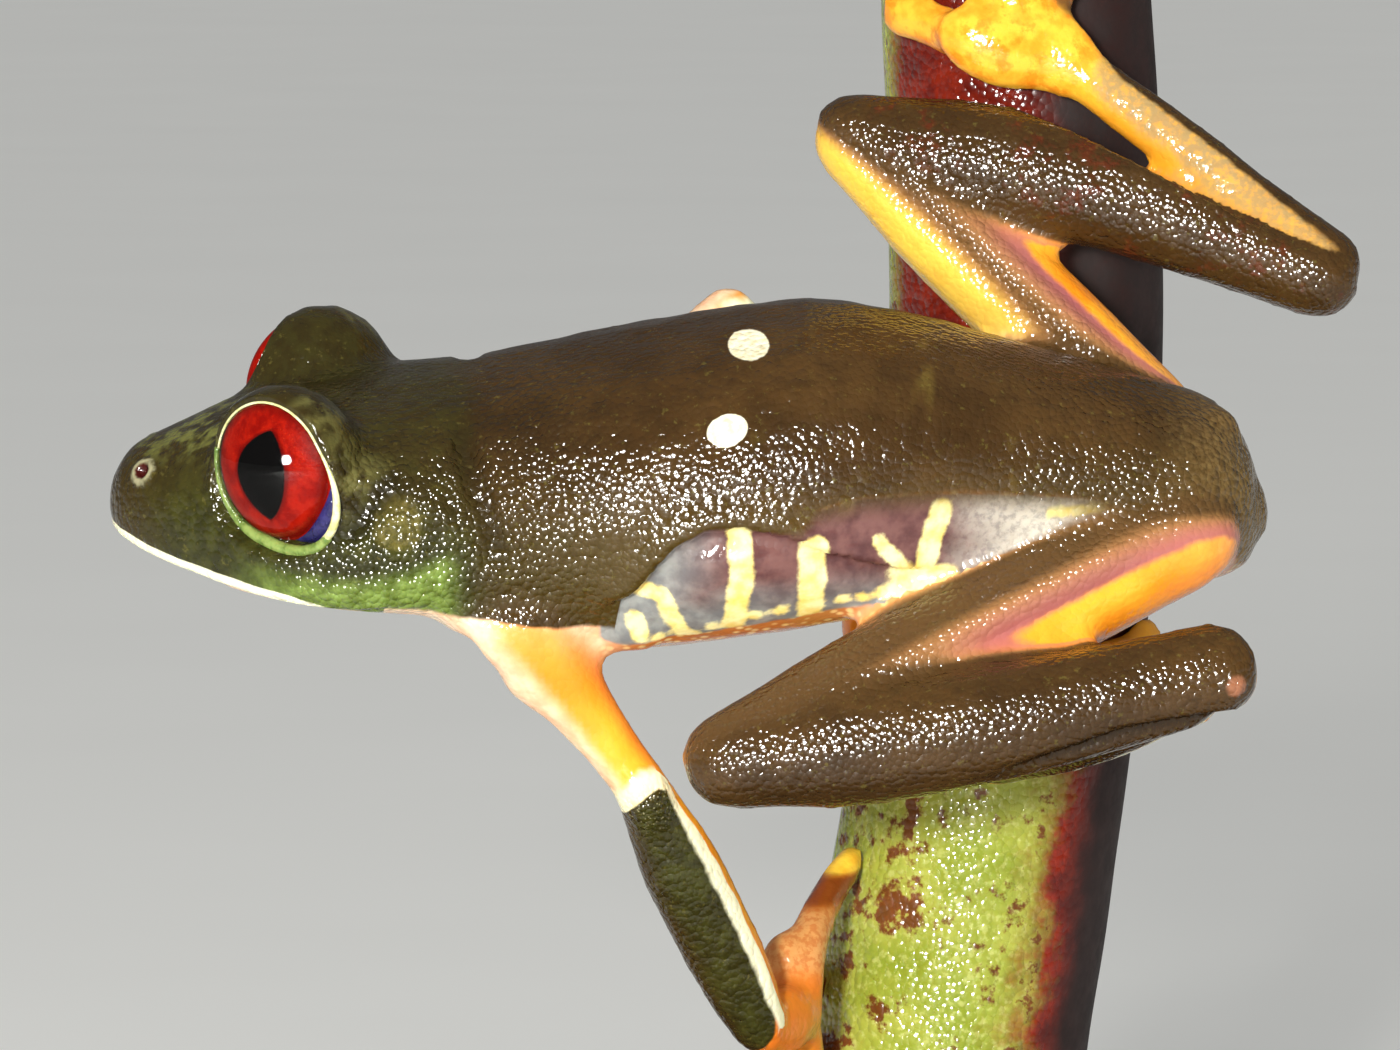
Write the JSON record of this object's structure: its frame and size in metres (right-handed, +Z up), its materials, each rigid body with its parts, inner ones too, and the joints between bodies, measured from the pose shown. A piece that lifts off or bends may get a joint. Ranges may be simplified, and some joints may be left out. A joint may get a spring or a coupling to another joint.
{
  "type": "red-eyed tree frog",
  "caption": "Red-eyed tree frog, life size, gripping a cut length of plant stem with its legs folded, on a plain round display stand.",
  "frame": {"origin": "The middle of the display stand's underside.", "axes": "+Z is up. The frog's head points towards -X, its left side faces -Y, and its back leans about 20 degrees from upright towards -Y. The stem rises along +Z behind it, on the +Y side."},
  "size_m": [0.072, 0.068, 0.084],
  "materials": {
    "skin": "moist, finely granular skin: dark olive-brown back, green jaw, cream lip, violet flanks with cream bars, orange limbs",
    "eye": "wet red iris with an upright black pupil under a clear cornea",
    "stem": "living plant stem, waxy yellow-green with red-brown mottling, darker red on one side",
    "base": "satin black turned disc with a rounded edge",
    "rod": "turned steel rod with a collar"
  },
  "bodies": {
    "root": {"head": "skin", "trunk": "skin", "upper_arm_left": "skin", "upper_arm_right": "skin", "forearm_left": "skin", "forearm_right": "skin", "hand_left": "skin", "hand_right": "skin", "thigh_left": "skin", "thigh_right": "skin", "shank_left": "skin", "shank_right": "skin", "tarsus_left": "skin", "tarsus_right": "skin", "foot_left": "skin", "foot_right": "skin", "eye_left": "eye", "eye_right": "eye", "perch_stem": "stem", "stand_base": "base", "stand_rod": "rod"}
  },
  "joints": []
}
